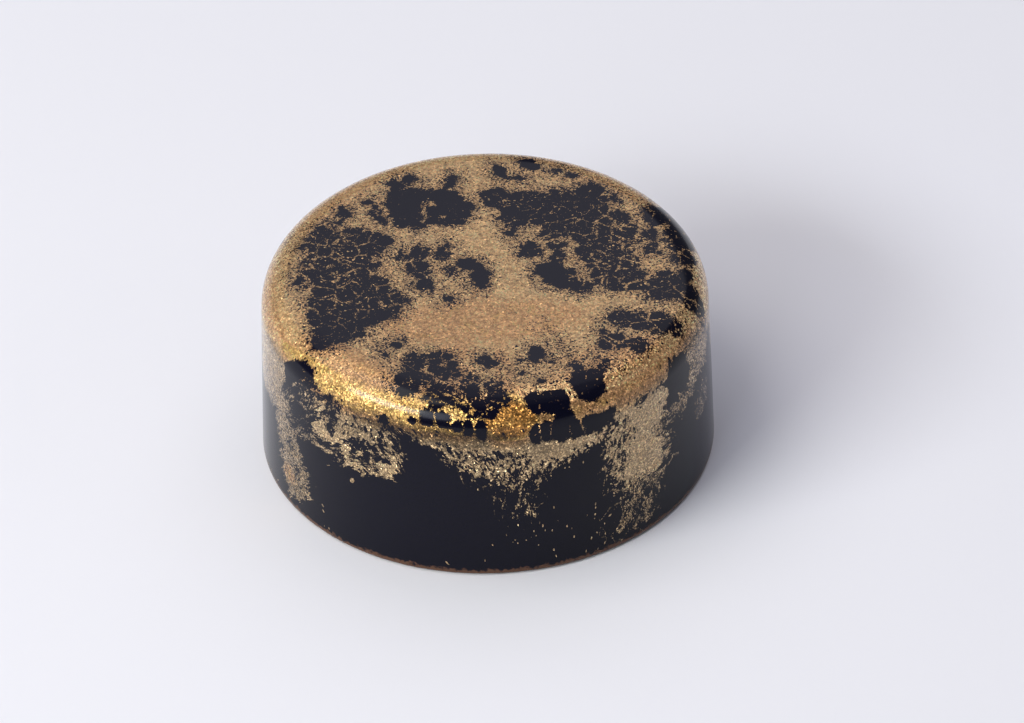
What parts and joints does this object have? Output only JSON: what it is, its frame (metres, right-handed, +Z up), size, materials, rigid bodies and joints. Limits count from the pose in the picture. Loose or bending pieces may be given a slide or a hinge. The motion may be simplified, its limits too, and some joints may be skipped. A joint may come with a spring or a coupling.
{
  "type": "chocolate bonbon",
  "caption": "Round moulded chocolate bonbon: a low drum with a rounded shoulder and a flat top, dark and satin, marbled with gold dust, standing on its flat base.",
  "frame": {"origin": "middle of the flat base", "axes": "+Z up along the drum's axis, -Y towards the side that the picture shows in front, +X to its right"},
  "size_m": [0.029, 0.029, 0.0129],
  "materials": {
    "shell": "satin"
  },
  "bodies": {
    "root": {"bonbon": "shell"}
  },
  "joints": []
}
